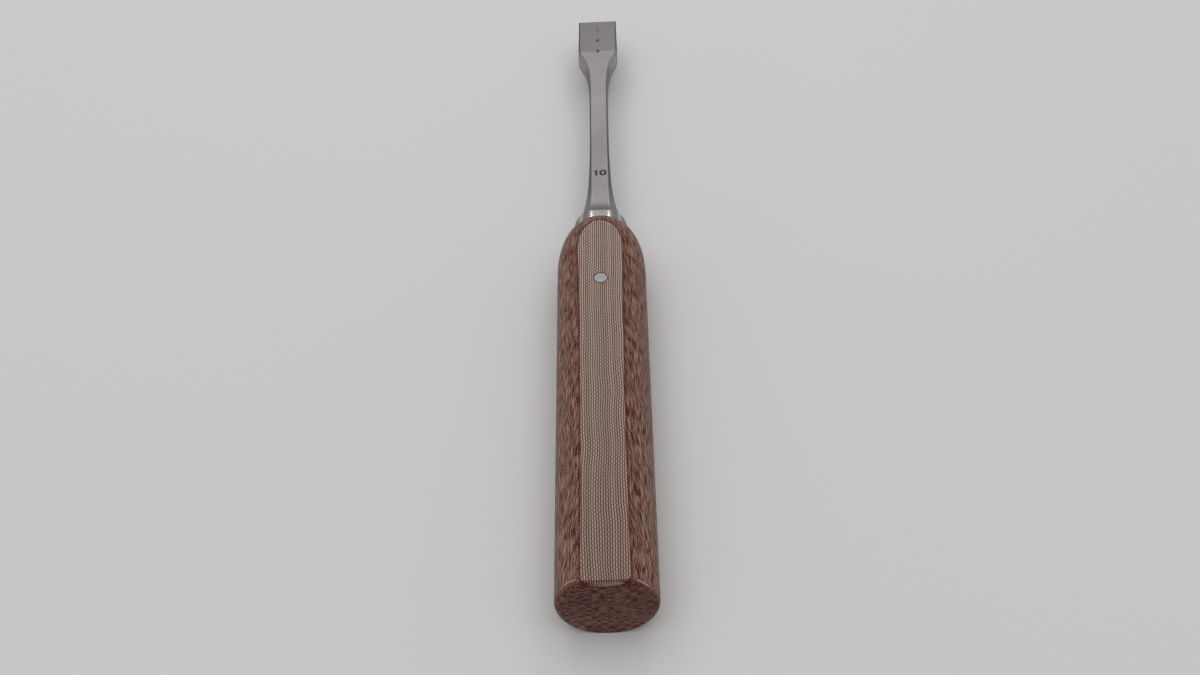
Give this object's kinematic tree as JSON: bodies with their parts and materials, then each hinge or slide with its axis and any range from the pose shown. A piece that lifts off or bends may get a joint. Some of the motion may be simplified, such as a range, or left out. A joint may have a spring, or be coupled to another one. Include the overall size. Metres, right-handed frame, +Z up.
{
  "type": "osteotome",
  "caption": "Small bone osteotome: a flat double-bevelled steel blade on a slim shank with a round bolster, pinned in a turned handle of woven laminate with two flats",
  "frame": {"origin": "On the table, under the middle of the whole length, with the tool lying on the lower flat of its handle", "axes": "+X across the blade's width, +Y along the tool towards the cutting edge, +Z up from the lower flat to the upper flat"},
  "size_m": [0.02, 0.183, 0.0178],
  "materials": {
    "instrument_steel": "satin",
    "handle_laminate": "satin resin over woven linen plies",
    "pin_steel": "ground flush, matt"
  },
  "bodies": {
    "root": {"blade": "instrument_steel", "handle": "handle_laminate", "handle_pin": "pin_steel"}
  },
  "joints": []
}
